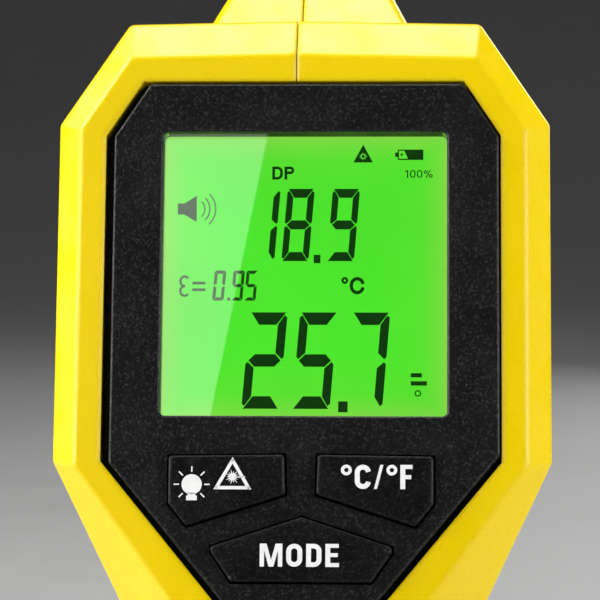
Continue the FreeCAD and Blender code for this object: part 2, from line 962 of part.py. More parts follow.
def casing_screws():
    """Five self-tapping screws, all driven from the right."""
    items = []
    for post, y, z in post_places():
        items.append(rod(
            f"{post}ScrewShank", "X", (d.screw_tip, y, z), d.screw_seat - d.screw_tip,
            d.screw_radius,
        ))
        head = rod(f"{post}ScrewHead", "X", (d.screw_seat, y, z), d.screw_head_height,
                   d.screw_head)
        drive = block(
            f"{post}ScrewDrive",
            (d.screw_seat + 1, y - 1.4, z - 0.3),
            (d.screw_seat + d.screw_head_height, y + 1.4, z + 0.3),
        )
        items.append(cut(f"{post}ScrewTop", head, drive))
    part("casing_screws", fuse("CasingScrews", *items))


def tripod_bush():
    """A hexagonal brass bush with a tripod thread, drawn as its tapping bore."""
    body = prism("BushBlank", "XY", bush_outline(), 0, d.bush_height)
    bore = rod("BushThread", "Z", (0, 0, -1), d.bush_bore_depth + 1, d.bush_bore)
    part("tripod_bush", cut("TripodBush", body, bore))


# ---------------------------------------------------------------- display panel


def bezel_outline():
    return [
        (d.bezel_top_right, d.bezel_top),
        (d.bezel_right, d.bezel_high),
        (d.bezel_right, d.bezel_low_right),
        (d.bezel_foot_half, d.bezel_foot),
        (-d.bezel_foot_half, d.bezel_foot),
        (d.bezel_left, d.bezel_low_left),
        (d.bezel_left, d.bezel_high),
        (d.bezel_top_left, d.bezel_top),
    ]


def side_key_outline(side):
    """A side key: flat at the top, with a long low edge that slopes down and outwards."""
    return [
        (side * d.key_outer + d.key_shift, d.key_top_outer),
        (side * d.key_inner_high + d.key_shift, d.key_top_inner),
        (side * d.key_inner_low + d.key_shift, d.key_low_inner),
        (side * d.key_apex_x + d.key_shift, d.key_apex),
        (side * d.key_outer + d.key_shift, d.key_low_outer),
    ]


def mode_key_outline():
    """The lower key: a house shape with a blunt roof and a tapering foot."""
    points = both_sides([
        (NOTHING, d.mode_apex),
        (d.mode_side, d.mode_side_high),
        (d.mode_side, d.mode_side_low),
        (d.mode_foot_half, d.mode_foot),
    ])
    return [(x + d.mode_shift, y) for x, y in points]


def key_layout():
    """Each key's name, outline and stem position."""
    return [
        ("left", side_key_outline(-1), -d.key_stem_x + d.key_shift, d.key_stem_y),
        ("right", side_key_outline(1), d.key_stem_x + d.key_shift, d.key_stem_y),
        ("mode", mode_key_outline(), d.mode_shift, d.mode_stem_y),
    ]


def window_block(name, low, high, grow=0):
    """A block with the window's rounded outline."""
    item = block(
        f"{name}Block",
        (d.window_x - d.window_half - grow, -d.window_half_height - grow, low),
        (d.window_x + d.window_half + grow, d.window_half_height + grow, high),
        PANEL,
    )
    return rounded(name, item, lambda edge: runs_along(edge, "z", PANEL), d.window_corner)


def stud_places():
    for x in (-d.stud_x, d.stud_x):
        for y in (d.stud_low, d.stud_high):
            yield x, y


def display_bezel():
    plate = prism("BezelPlate", "XY", bezel_outline(), d.bezel_back, d.bezel_face, PANEL)
    plate = rounded(
        "BezelCorners", plate, lambda edge: runs_along(edge, "z", PANEL), d.bezel_corner
    )
    plate = rounded(
        "BezelEdge", plate, lambda edge: lies_at(edge, "z", d.bezel_face, PANEL), d.bezel_edge
    )
    flange = prism("BezelFlange", "XY", grown(bezel_outline(), d.flange_margin),
                   d.flange_back, d.bezel_back, PANEL)
    lcd_room = block(
        "LcdRoom",
        (-d.lcd_frame_half - 0.2, -d.lcd_frame_half_height - 0.2, d.flange_back - 1),
        (d.lcd_frame_half + 0.2, d.lcd_frame_half_height + 0.2, d.bezel_back),
        PANEL,
    )
    key_room = prism(
        "KeyRoom", "XY", both_sides([(15.8, -18.7), (15.8, -26.5), (9, -34.8)]),
        d.flange_back - 1, d.bezel_back, PANEL,
    )
    studs = [
        rod(f"BezelStud{index}", "Z", (x, y, d.board_face), d.bezel_back - d.board_face,
            d.stud_radius, PANEL)
        for index, (x, y) in enumerate(stud_places())
    ]
    stud_bores = [
        rod(f"BezelStudBore{index}", "Z", (x, y, d.board_face - 1), 5, d.stud_bore, PANEL)
        for index, (x, y) in enumerate(stud_places())
    ]
    holes = [window_block("WindowHole", d.bezel_back - 1, d.bezel_face + 1)]
    for key, outline, _, _ in key_layout():
        holes.append(prism(f"KeyHole{key}", "XY", grown(outline, d.key_gap),
                           d.bezel_back - 1, d.bezel_face + 1, PANEL))
    ring = cut("FlangeRing", flange, lcd_room, key_room)
    solid = fuse("BezelSolid", plate, ring, *studs)
    drilled = cut("BezelDrilled", solid, *holes, *stud_bores)

    def window_lip(edge):
        return lies_at(edge, "z", d.bezel_face, PANEL) and all(
            abs(point.x) < d.window_half.value + 1 and abs(point.y) < d.window_half_height.value + 1
            for point in ends(edge, PANEL)
        )

    part("display_bezel", rounded("DisplayBezel", drilled, window_lip, d.window_bevel,
                                  "Part::Chamfer"))
    part("display_window", window_block("DisplayWindow", d.window_back, d.window_face))


def key_cap(key, outline, stem_x, stem_y):
    """A key cap with a captive flange and a stem that reaches its switch."""
    name = f"Key{key}"
    cap = prism(f"{name}Cap", "XY", outline, d.key_flange_top, d.key_face, PANEL)
    cap = rounded(f"{name}Corners", cap, lambda edge: runs_along(edge, "z", PANEL), d.key_corner)
    cap = rounded(f"{name}Edge", cap, lambda edge: lies_at(edge, "z", d.key_face, PANEL),
                  d.key_edge)
    flange = prism(f"{name}Flange", "XY", grown(outline, d.key_flange),
                   d.key_flange_back, d.key_flange_top, PANEL)
    stem = rod(f"{name}Stem", "Z", (stem_x, stem_y, d.key_stem_end),
               d.key_flange_top - d.key_stem_end, d.key_stem_radius, PANEL)
    part(f"key_{key}", fuse(name, cap, flange, stem))
    body = block(
        f"{name}Tact",
        (stem_x - d.tact_half, stem_y - d.tact_half, d.board_face),
        (stem_x + d.tact_half, stem_y + d.tact_half, d.tact_face),
        PANEL,
    )
    bore = rod(f"{name}TactBore", "Z", (stem_x, stem_y, d.tact_bore_end), 5, d.tact_bore, PANEL)
    part(f"tact_switch_{key}", cut(f"{name}Switch", body, bore))


def display_stack():
    """Display glass, light guide, frame and contact strip, sandwiched onto the main board."""
    part("lcd_glass", block(
        "LcdGlass", (-d.lcd_half, -d.lcd_half, d.lcd_back), (d.lcd_half, d.lcd_half, d.bezel_back),
        PANEL,
    ))
    part("lcd_backlight", block(
        "LcdBacklight", (-d.light_half, d.light_low, d.light_back),
        (d.light_half, d.light_half, d.lcd_back), PANEL,
    ))
    frame = block(
        "FrameBlock", (-d.lcd_frame_half, -d.lcd_frame_half_height, d.board_face),
        (d.lcd_frame_half, d.lcd_frame_half_height, d.bezel_back), PANEL,
    )
    inner_half = d.lcd_frame_half - d.lcd_frame_wall
    inner_height = d.lcd_frame_half_height - d.lcd_frame_wall * 0.75
    room = block("FrameRoom", (-inner_half, -inner_height, d.board_face - 1),
                 (inner_half, inner_height, d.bezel_back + 1), PANEL)
    part("lcd_frame", cut("LcdFrame", frame, room))
    part("zebra_strip", block(
        "ZebraStrip", (-d.zebra_half, d.zebra_low, d.board_face),
        (d.zebra_half, d.zebra_high, d.lcd_back), PANEL,
    ))


def main_board():
    outline = both_sides([
        (d.board_half, d.board_top),
        (d.board_half, d.board_waist),
        (d.board_foot_half, d.board_foot),
    ])
    plate = prism("BoardPlate", "XY", outline, d.board_back, d.board_face, PANEL)
    holes = [
        rod(f"BoardHole{index}", "Z", (x, y, d.board_back - 1), 5, d.stud_bore + 0.2, PANEL)
        for index, (x, y) in enumerate(stud_places())
    ]
    part("main_board", cut("MainBoard", plate, *holes))
    chips = [
        block(f"Chip{index}", (x - half, y - half, d.board_back - 1.4), (x + half, y + half,
              d.board_back), PANEL)
        for index, (x, y, half) in enumerate(((-4, 2, 6), (-15, -10, 3), (6, -14, 2.5)))
    ]
    part("board_chips", fuse("BoardChips", *chips))
    part("buzzer", rod("Buzzer", "Z", (13, 6, d.board_back - 3.5), 3.5, 4.5, PANEL))
    screws = []
    for index, (x, y) in enumerate(stud_places()):
        screws.append(rod(f"BoardScrewHead{index}", "Z", (x, y, d.board_back - 1), 1,
                          d.stud_head, PANEL))
        screws.append(rod(f"BoardScrewShank{index}", "Z", (x, y, d.board_back), 4, d.stud_bore,
                          PANEL))
    part("board_screws", fuse("BoardScrews", *screws))


# ---------------------------------------------------------------- optics


def nose():
    """The front cap: a chamfered block with the sighting cone and two laser ports."""
    cap = prism("NoseCap", "XZ", barrel_outline(), d.barrel_front, d.nose_front)
    cap = rounded("NoseChamfer", cap, lambda edge: lies_at(edge, "y", d.nose_front),
                  d.nose_chamfer, "Part::Chamfer")
    spigot = prism("NoseSpigot", "XZ", grown(barrel_outline(), -d.wall - d.spigot_play),
                   d.spigot_back, d.barrel_front)
    cone = turned("NoseCone", [
        (NOTHING, d.spigot_back - 1),
        (d.throat_radius, d.spigot_back - 1),
        (d.throat_radius, d.throat_end),
        (d.cone_radius, d.nose_front),
        (d.cone_radius, d.nose_front + 1),
        (NOTHING, d.nose_front + 1),
    ], optical_axis())
    ports = []
    for label, offset in (("Upper", d.laser_offset), ("Lower", -d.laser_offset)):
        height = d.axis_z + offset
        ports.append(rod(f"{label}Beam", "Y", (0, d.spigot_back - 1, height), 20, d.beam_radius))
        ports.append(rod(f"{label}PaneSeat", "Y", (0, d.pane_back, height), 5, d.pane_radius))
        part(f"laser_window_{label.lower()}", rod(
            f"{label}Pane", "Y", (0, d.pane_back, height), d.pane_front - d.pane_back,
            d.pane_radius,
        ))
        barrel_body = rod(f"{label}LaserBody", "Y", (0, d.laser_back, height),
                          d.laser_front - d.laser_back, d.laser_radius)
        bore = rod(f"{label}LaserBore", "Y", (0, d.laser_front - d.laser_bore_depth, height), 5,
                   d.laser_bore)
        part(f"laser_module_{label.lower()}", cut(f"{label}Laser", barrel_body, bore))
    part("nose_cap", cut("Nose", fuse("NoseSolid", cap, spigot), cone, *ports))


def optics():
    """Lens, retaining ring, tube, thermopile can and its board, from front to back."""
    part("ir_lens", turned("Lens", [
        (NOTHING, d.lens_seat),
        (d.lens_radius, d.lens_seat),
        (d.lens_radius, d.lens_seat + d.lens_edge),
        (d.lens_radius * 0.5, d.lens_seat + d.lens_crown * 0.88),
        (NOTHING, d.lens_seat + d.lens_crown),
    ], optical_axis()))
    part("lens_ring", turned("LensRing", [
        (d.ring_bore, d.ring_back),
        (d.lens_radius, d.ring_back),
        (d.lens_radius, d.spigot_back),
        (d.ring_bore + 0.4, d.spigot_back),
    ], optical_axis()))
    part("optic_tube", turned("OpticTube", [
        (3, d.tube_back),
        (d.tube_radius, d.tube_back),
        (d.tube_radius, d.spigot_back),
        (d.lens_radius, d.spigot_back),
        (d.lens_radius, d.lens_seat),
        (d.tube_bore, d.lens_seat),
        (d.tube_bore, d.tube_wall_end),
        (3, d.tube_wall_end),
    ], optical_axis()))
    can = turned("ThermopileCan", [
        (NOTHING, d.tube_wall_end),
        (d.can_flange, d.tube_wall_end),
        (d.can_flange, d.can_flange_end),
        (d.can_cap, d.can_flange_end),
        (d.can_cap, d.can_end),
        (d.can_window, d.can_end),
        (d.can_window, d.can_end - 0.4),
        (NOTHING, d.can_end - 0.4),
    ], optical_axis())
    pins = []
    for index in range(4):
        angle = math.radians(90 * index + 45)
        x = d.pin_circle * math.cos(angle)
        z = d.axis_z + d.pin_circle * math.sin(angle)
        pins.append(rod(f"CanPin{index}", "Y", (x, d.tube_back, z),
                        d.tube_wall_end - d.tube_back, 0.22))
    part("thermopile", fuse("Thermopile", can, *pins))
    part("sensor_board", rod(
        "SensorBoard", "Y", (0, d.sensor_board_back, d.axis_z), d.tube_back - d.sensor_board_back,
        d.sensor_board_radius,
    ))
    for label, start in (("front", d.front_carrier), ("rear", d.rear_carrier)):
        plate = prism(f"Carrier{label}", "XZ", grown(barrel_outline(), -d.wall), start,
                      start + d.carrier_thickness)
        holes = [rod(f"CarrierTube{label}", "Y", (0, start - 1, d.axis_z), 5, d.tube_radius)]
        for side in (-1, 1):
            holes.append(rod(f"CarrierLaser{label}{side + 1}", "Y",
                             (0, start - 1, d.axis_z + d.laser_offset * side), 5,
                             d.laser_radius))
        part(f"optics_carrier_{label}", cut(f"Optics{label}", plate, *holes))


def air_sensor():
    """A slotted cover under the barrel, with the humidity sensor's board above it."""
    cover = block("VentCover", (-d.vent_half, d.vent_back, d.barrel_bottom - d.vent_height),
                  (d.vent_half, d.vent_front, d.barrel_bottom))
    slots = []
    count = 5
    middle = (d.vent_back + d.vent_front) * 0.5
    for index in range(count):
        centre = middle + d.slot_pitch * (index - (count - 1) / 2)
        slots.append(block(
            f"VentSlot{index}",
            (-d.vent_hole_half, centre - d.slot_width * 0.5, d.barrel_bottom - 2),
            (d.vent_hole_half, centre + d.slot_width * 0.5, d.barrel_bottom + 1),
        ))
    part("vent_cover", cut("Vent", cover, *slots))
    shelf = d.barrel_bottom + d.wall
    board = block("AirBoard", (-d.air_board_half, d.air_board_back, shelf),
                  (d.air_board_half, d.air_board_front, shelf + d.air_board_thickness))
    chip = block("AirChip", (-d.air_chip_half, d.air_chip_back, shelf - 1),
                 (d.air_chip_half, d.air_chip_back + d.air_chip_half * 2, shelf))
    part("humidity_sensor", fuse("HumiditySensor", board, chip))


# ---------------------------------------------------------------- trigger


def trigger():
    """A finger lever on a cross pin; a nose behind it presses the switch."""
    lever = [
        (42.2, 107.5), (46, 110.2), (54.6, 110.2), (57.4, 107.6), (55.9, 99), (54.9, 92),
        (55.7, 85), (53.8, 82), (50.8, 82.4), (48.2, 89), (44.5, 95.6), (36.3, 96.6),
        (36.3, 99.4), (41.8, 100.5),
    ]
    blade = prism("TriggerBlade", "YZ", lever, -d.trigger_half, d.trigger_half)

    def finger_edge(edge):
        points = ends(edge)
        return not runs_along(edge, "x") and all(point.y > 50 for point in points)

    blade = rounded("TriggerSoft", blade, finger_edge, d.trigger_round)
    bore = rod("TriggerBore", "X", (-d.trigger_half - 1, d.pivot_y, d.pivot_z),
               d.trigger_half * 2 + 2, d.pivot_radius + d.pivot_play)
    part("trigger", cut("Trigger", blade, bore))
    part("trigger_pin", rod("TriggerPin", "X", (-d.pivot_pin_half, d.pivot_y, d.pivot_z),
                            d.pivot_pin_half * 2, d.pivot_radius))


def trigger_switch():
    body = block("SwitchBody", (-d.switch_half, d.switch_back, d.switch_low),
                 (d.switch_half, d.switch_front, d.switch_high))
    play = d.plunger_play
    room = block(
        "SwitchBore",
        (-d.plunger_half - play, d.plunger_bore, d.plunger_z - d.plunger_half_height - play),
        (d.plunger_half + play, d.switch_front + 1, d.plunger_z + d.plunger_half_height + play),
    )
    part("trigger_switch", cut("TriggerSwitch", body, room))
    part("switch_plunger", block(
        "SwitchPlunger",
        (-d.plunger_half, d.plunger_back, d.plunger_z - d.plunger_half_height),
        (d.plunger_half, d.plunger_front, d.plunger_z + d.plunger_half_height),
    ))
    plate = block("BracketPlate", (-d.bracket_half, d.bracket_back, d.bracket_low),
                  (d.bracket_half, d.switch_back, d.bracket_high))
    seat = block("BracketSeat", (-d.seat_half, d.switch_back, d.seat_low),
                 (d.seat_half, d.seat_front, d.seat_high))
    part("switch_bracket", fuse("SwitchBracket", plate, seat))
    coil = rod("SpringOuter", "Y", (0, d.seat_front, d.spring_z), d.spring_front - d.seat_front,
               d.spring_radius)
    core = rod("SpringInner", "Y", (0, d.seat_front - 1, d.spring_z), 30,
               d.spring_radius - d.spring_wire)
    part("trigger_spring", cut("TriggerSpring", coil, core))


# ---------------------------------------------------------------- battery


def battery():
    """A 9 V block with its snap connector above it and a tray behind and below it."""
    case = block("BatteryBlock", (-d.battery_half, d.battery_low, d.battery_front),
                 (d.battery_half, d.battery_high, d.battery_rear), PANEL)
    case = rounded("BatteryCase", case, lambda edge: runs_along(edge, "y", PANEL),
                   d.battery_corner)
    middle = (d.battery_front + d.battery_rear) * 0.5
    terminals = [
        rod(f"Terminal{index}", "Y", (x, d.battery_high, middle), d.terminal_height,
            d.terminal_radius, PANEL)
        for index, x in enumerate((-d.terminal_x, d.terminal_x))
    ]
    part("battery", fuse("Battery", case, *terminals))
    strap = block(
        "SnapStrap", (-d.snap_half, d.battery_high, middle - 4.5),
        (d.snap_half, d.battery_high + d.snap_height, middle + 4.5), PANEL,
    )
    wells = [
        rod(f"SnapWell{index}", "Y", (x, d.battery_high - 1, middle), d.terminal_height + 1,
            d.terminal_radius, PANEL)
        for index, x in enumerate((-d.terminal_x, d.terminal_x))
    ]
    part("battery_snap", cut("BatterySnap", strap, *wells))
    wall = d.tray_wall
    tray = [
        (d.tray_high, d.tray_rear),
        (d.battery_low - wall, d.tray_rear),
        (d.battery_low - wall, d.battery_front),
        (d.battery_low, d.battery_front),
        (d.battery_low, d.tray_rear - wall),
        (d.tray_high, d.tray_rear - wall),
    ]
    part("battery_tray", prism("BatteryTray", "YZ", tray, -d.tray_half, d.tray_half, PANEL))


# ---------------------------------------------------------------- assembly and export


def check_document():
    """Stop if any object failed to recompute or any sub-part isn't one valid shape."""
    doc.recompute()
    failed = [
        item.Name for item in doc.Objects if {"Invalid", "Error"} & set(item.State)
    ]
    for label, item in PARTS.items():
        shape = item.Shape
        if shape.isNull() or not shape.isValid() or shape.Volume <= 0 or not shape.Solids:
            failed.append(label)
    if failed:
        raise RuntimeError(f"these objects failed: {failed}")


def export_parts():
    os.makedirs("parts", exist_ok=True)
    for label, item in PARTS.items():
        item.Shape.exportStep(f"parts/{label}.step")
        solids = len(item.Shape.Solids)
        print(f"{label}: {solids} solid{'s' if solids > 1 else ''}, "
              f"{item.Shape.Volume:.1f} cubic mm")


casing()
casing_screws()
tripod_bush()
display_bezel()
for key_name, key_shape, key_stem_x, key_stem_y in key_layout():
    key_cap(key_name, key_shape, key_stem_x, key_stem_y)
display_stack()
main_board()
nose()
optics()
air_sensor()
trigger()
trigger_switch()
battery()
check_document()
export_parts()
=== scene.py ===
import json
import math

import bmesh
import bpy
from mathutils import Matrix, Vector


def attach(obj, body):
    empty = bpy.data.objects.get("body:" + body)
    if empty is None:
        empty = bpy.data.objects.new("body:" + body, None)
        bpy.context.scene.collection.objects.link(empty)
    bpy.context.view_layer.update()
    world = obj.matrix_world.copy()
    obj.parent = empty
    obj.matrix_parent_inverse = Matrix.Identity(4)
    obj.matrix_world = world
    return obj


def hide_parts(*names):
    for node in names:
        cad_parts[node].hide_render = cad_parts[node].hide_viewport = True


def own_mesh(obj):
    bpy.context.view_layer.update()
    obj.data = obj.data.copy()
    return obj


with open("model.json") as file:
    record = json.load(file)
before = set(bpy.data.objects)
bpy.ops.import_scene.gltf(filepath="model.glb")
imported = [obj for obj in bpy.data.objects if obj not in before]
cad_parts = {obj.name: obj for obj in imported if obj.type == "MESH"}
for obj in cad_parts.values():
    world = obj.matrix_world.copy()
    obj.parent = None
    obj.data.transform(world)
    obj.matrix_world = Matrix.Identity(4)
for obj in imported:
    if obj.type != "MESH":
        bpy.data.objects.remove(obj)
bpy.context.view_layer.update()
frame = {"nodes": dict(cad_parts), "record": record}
NODES = frame["nodes"]

MM = 0.001
# The display panel's own frame: X to the right, Y up its face, Z out of it.
TILT = math.radians(75)
PANEL = Matrix.Translation((0, 12 * MM, 117 * MM)) @ Matrix.Rotation(TILT, 4, "X")


def add_object(name, mesh, material):
    """Turn a finished bmesh into an object with one material."""
    data = bpy.data.meshes.new(name)
    mesh.to_mesh(data)
    mesh.free()
    data.materials.append(material)
    item = bpy.data.objects.new(name, data)
    bpy.context.scene.collection.objects.link(item)
    return item


def join_rings(mesh, rings):
    """Quads between each ring of vertices and the next."""
    for first, second in zip(rings, rings[1:]):
        for index in range(len(first)):
            following = (index + 1) % len(first)
            mesh.faces.new((first[index], first[following], second[following], second[index]))


# ---------------------------------------------------------------- materials


class Nodes:
    """A small builder for one material's node tree."""

    def __init__(self, name):
        self.material = bpy.data.materials.new(name)
        self.material.use_nodes = True
        self.tree = self.material.node_tree
        self.tree.nodes.clear()
        self.output = self.add("ShaderNodeOutputMaterial")

    def add(self, kind, **settings):
        node = self.tree.nodes.new(kind)
        for key, value in settings.items():
            setattr(node, key, value)
        return node

    def link(self, source, target):
        self.tree.links.new(source, target)

    def place(self, turned=False):
        """Object coordinates, optionally in the display panel's frame."""
        coordinates = self.add("ShaderNodeTexCoord")
        mapping = self.add("ShaderNodeMapping")
        if turned:
            mapping.vector_type = "TEXTURE"
            mapping.inputs["Location"].default_value = PANEL.translation
            mapping.inputs["Rotation"].default_value = (TILT, 0, 0)
        self.link(coordinates.outputs["Object"], mapping.inputs["Vector"])
        return mapping.outputs["Vector"]

    def noise(self, vector, scale, detail=3.0, roughness=0.55):
        node = self.add("ShaderNodeTexNoise")
        node.inputs["Scale"].default_value = scale
        node.inputs["Detail"].default_value = detail
        node.inputs["Roughness"].default_value = roughness
        self.link(vector, node.inputs["Vector"])
        return node.outputs["Fac"]

    def ramp(self, factor, *stops):
        node = self.add("ShaderNodeValToRGB")
        elements = node.color_ramp.elements
        while len(elements) < len(stops):
            elements.new(0.5)
        for element, (position, colour) in zip(elements, stops):
            element.position = position
            element.color = (*colour, 1)
        self.link(factor, node.inputs["Fac"])
        return node.outputs["Color"]

    def between(self, factor, low, high, from_low=0.0, from_high=1.0):
        node = self.add("ShaderNodeMapRange")
        node.inputs["From Min"].default_value = from_low
        node.inputs["From Max"].default_value = from_high
        node.inputs["To Min"].default_value = low
        node.inputs["To Max"].default_value = high
        self.link(factor, node.inputs["Value"])
        return node.outputs["Result"]

    def tint(self, factor, base, colour):
        """A linked colour that turns into a fixed one as the factor rises."""
        node = self.add("ShaderNodeMix", data_type="RGBA")
        colour_a, colour_b = (node.inputs[index] for index in (6, 7))
        self.link(factor, node.inputs["Factor"])
        self.link(base, colour_a)
        colour_b.default_value = (*colour, 1)
        return node.outputs[2]

    def bump(self, height, strength, distance, normal=None):
        node = self.add("ShaderNodeBump")
        node.inputs["Strength"].default_value = strength
        node.inputs["Distance"].default_value = distance
        self.link(height, node.inputs["Height"])
        if normal is not None:
            self.link(normal, node.inputs["Normal"])
        return node.outputs["Normal"]

    def principled(self, **values):
        """A Principled node: numbers and colours are set on its sockets, node outputs linked."""
        shader = self.add("ShaderNodeBsdfPrincipled")
        for key, value in values.items():
            socket = shader.inputs[key.replace("_", " ")]
            if isinstance(value, bpy.types.NodeSocket):
                self.link(value, socket)
            elif isinstance(value, tuple):
                socket.default_value = (*value, 1)
            else:
                socket.default_value = value
        self.link(shader.outputs["BSDF"], self.output.inputs["Surface"])
        return shader


# Pale grey painted into the lightest grain specks: painted glints, not the plastic's own colour.
GLINT_GREY = (0.32, 0.32, 0.33)


def grainy_plastic(name, dark, light, grain, depth, rough, sparkle=0.0, coat=0.0, specular=0.5,
                   strength=0.55, soft=0.0):
    """Moulded plastic with a fine spark-eroded grain, slow colour drift and small pale specks that
    are painted glints.

    grain is the noise scale and depth the bump's height in metres; sparkle is how far the
    lightest grains are painted pale as painted glints, and soft is the radius that its edges are
    shaded with.
    """
    m = Nodes(name)
    where = m.place()
    fine = m.noise(where, grain, 2.0, 0.6)
    broad = m.noise(where, 55.0, 4.0)
    colour = m.ramp(broad, (0.3, dark), (0.7, light))
    if sparkle:
        # The lightest Voronoi cells are tinted pale: painted glints of the grain catching light.
        cells = m.add("ShaderNodeTexVoronoi", feature="F1")
        cells.inputs["Scale"].default_value = grain * 1.6
        m.link(where, cells.inputs["Vector"])
        painted_glint = m.between(cells.outputs["Color"], 0.0, sparkle, 0.62, 1.0)
        colour = m.tint(painted_glint, colour, GLINT_GREY)
    roughness = m.between(m.noise(where, 210.0, 5.0), rough - 0.08, rough + 0.1, 0.3, 0.7)
    rounded = None
    if soft:
        rounded = m.add("ShaderNodeBevel", samples=6)
        rounded.inputs["Radius"].default_value = soft
        rounded = rounded.outputs["Normal"]
    normal = m.bump(fine, strength, depth, rounded)
    normal = m.bump(m.noise(where, grain * 0.45, 3.0), 0.2, depth * 1.6, normal)
    m.principled(
        Base_Color=colour, Roughness=roughness, Normal=normal, Coat_Weight=coat,
        Coat_Roughness=0.35, IOR=1.47, Specular_IOR_Level=specular,
    )
    return m.material


def metal(name, dark, light, rough, stretch=(1, 1, 1)):
    """Turned or drawn metal with fine streaks and faint staining."""
    m = Nodes(name)
    where = m.place()
    mapping = m.add("ShaderNodeMapping")
    mapping.inputs["Scale"].default_value = stretch
    m.link(where, mapping.inputs["Vector"])
    streaks = m.noise(mapping.outputs["Vector"], 1500.0, 3.0)
    colour = m.ramp(m.noise(where, 180.0, 5.0), (0.3, dark), (0.7, light))
    m.principled(
        Base_Color=colour, Metallic=1.0,
        Roughness=m.between(streaks, rough - 0.08, rough + 0.12, 0.3, 0.7),
        Normal=m.bump(streaks, 0.2, 0.00004),
    )
    return m.material


def printed(name, colour, rough=0.5, glow=(0, 0, 0)):
    """Flat printed ink, very slightly uneven; liquid-crystal segments let some light through."""
    m = Nodes(name)
    where = m.place()
    low = tuple(value * 0.9 for value in colour)
    m.principled(
        Base_Color=m.ramp(m.noise(where, 900.0, 3.0), (0.35, low), (0.65, colour)),
        Roughness=m.between(m.noise(where, 1400.0, 2.0), rough - 0.06, rough + 0.06, 0.3, 0.7),
        Emission_Color=glow, Emission_Strength=1.0,
    )
    return m.material


def circuit_board(name):
    """Green solder mask with faint tracks, pads and vias."""
    m = Nodes(name)
    where = m.place()
    tracks = m.add("ShaderNodeTexBrick", offset=0.37)
    for key, value in (("Scale", 260.0), ("Mortar Size", 0.018), ("Mortar Smooth", 0.1)):
        tracks.inputs[key].default_value = value
    tracks.inputs["Color1"].default_value = (0.012, 0.13, 0.045, 1)
    tracks.inputs["Color2"].default_value = (0.016, 0.15, 0.055, 1)
    tracks.inputs["Mortar"].default_value = (0.05, 0.3, 0.1, 1)
    m.link(where, tracks.inputs["Vector"])
    vias = m.add("ShaderNodeTexVoronoi", feature="F1")
    vias.inputs["Scale"].default_value = 330.0
    m.link(where, vias.inputs["Vector"])
    spot = m.between(vias.outputs["Distance"], 1.0, 0.0, 0.10, 0.14)
    colour = m.tint(spot, tracks.outputs["Color"], (0.62, 0.6, 0.5))
    m.principled(
        Base_Color=colour, Roughness=m.between(m.noise(where, 400.0), 0.3, 0.5, 0.3, 0.7),
        Normal=m.bump(tracks.outputs["Fac"], 0.3, 0.00003),
    )
    return m.material


def clear_pane(name):
    """A clear pane: reflections over a straight view through, with a trace of smears."""
    m = Nodes(name)
    where = m.place()
    fresnel = m.add("ShaderNodeFresnel")
    fresnel.inputs["IOR"].default_value = 1.8
    smears = m.noise(where, 60.0, 6.0)
    gloss = m.add("ShaderNodeBsdfGlossy")
    gloss.inputs["Color"].default_value = (1, 1, 1, 1)
    m.link(m.between(smears, 0.002, 0.02, 0.4, 0.75), gloss.inputs["Roughness"])
    through = m.add("ShaderNodeBsdfTransparent")
    m.link(m.ramp(smears, (0.3, (1, 1, 1)), (0.75, (0.985, 0.985, 0.985))),
           through.inputs["Color"])
    mix = m.add("ShaderNodeMixShader")
    m.link(fresnel.outputs["Fac"], mix.inputs["Fac"])
    m.link(through.outputs["BSDF"], mix.inputs[1])
    m.link(gloss.outputs["BSDF"], mix.inputs[2])
    m.link(mix.outputs["Shader"], m.output.inputs["Surface"])
    return m.material


def lit_display(name):
    """The back-lit glass: saturated green, yellower and darker towards its edges."""
    m = Nodes(name)
    where = m.place(turned=True)
    split = m.add("ShaderNodeSeparateXYZ")
    m.link(where, split.inputs["Vector"])

    def distance(output, centre, half):
        shift = m.add("ShaderNodeMath", operation="SUBTRACT")
        shift.inputs[1].default_value = centre
        m.link(output, shift.inputs[0])
        size = m.add("ShaderNodeMath", operation="ABSOLUTE")
        m.link(shift.outputs["Value"], size.inputs[0])
        return m.between(size.outputs["Value"], 0.0, 1.0, half * 0.55, half)

    across = distance(split.outputs["X"], 0.00024, 0.0156)
    along = distance(split.outputs["Y"], 0.0, 0.0157)
    larger = m.add("ShaderNodeMath", operation="MAXIMUM")
    m.link(across, larger.inputs[0])
    m.link(along, larger.inputs[1])
    colour = m.ramp(
        larger.outputs["Value"],
        (0.0, (0.075, 0.86, 0.022)),
        (0.62, (0.105, 0.84, 0.028)),
        (0.9, (0.19, 0.80, 0.05)),
        (1.0, (0.27, 0.74, 0.08)),
    )
    drift = m.between(m.noise(where, 60.0, 2.0), 1.0, 1.1, 0.3, 0.7)
    shader = m.principled(Base_Color=(0.02, 0.06, 0.01), Roughness=0.35, Emission_Color=colour)
    m.link(drift, shader.inputs["Emission Strength"])
    return m.material


YELLOW = grainy_plastic(
    "yellow_shell", (0.83, 0.595, 0.0005), (0.87, 0.635, 0.0008),
    grain=2600, depth=0.00003, rough=0.27, specular=0.38, soft=0.0009,
)
BLACK = grainy_plastic(
    "black_panel", (0.003, 0.003, 0.0032), (0.005, 0.005, 0.0053),
    grain=2900, depth=0.00013, rough=0.38, sparkle=0.09, specular=0.28, strength=0.8,
)
KEY_BLACK = grainy_plastic(
    "key_rubber", (0.0012, 0.0012, 0.0013), (0.002, 0.002, 0.0021),
    grain=3400, depth=0.00011, rough=0.38, sparkle=0.06, specular=0.24, strength=0.8,
    soft=0.0005,
)
TRIM_BLACK = grainy_plastic(
    "trim_black", (0.014, 0.014, 0.0145), (0.02, 0.02, 0.021),
    grain=2300, depth=0.00012, rough=0.48, sparkle=0.06,
)
PAD_BLACK = grainy_plastic(
    "pad_rubber", (0.02, 0.02, 0.021), (0.028, 0.028, 0.029),
    grain=1800, depth=0.00014, rough=0.68,
)
CHIP_BLACK = grainy_plastic(
    "chip_black", (0.012, 0.012, 0.013), (0.02, 0.02, 0.021),
    grain=3200, depth=0.00006, rough=0.55,
)
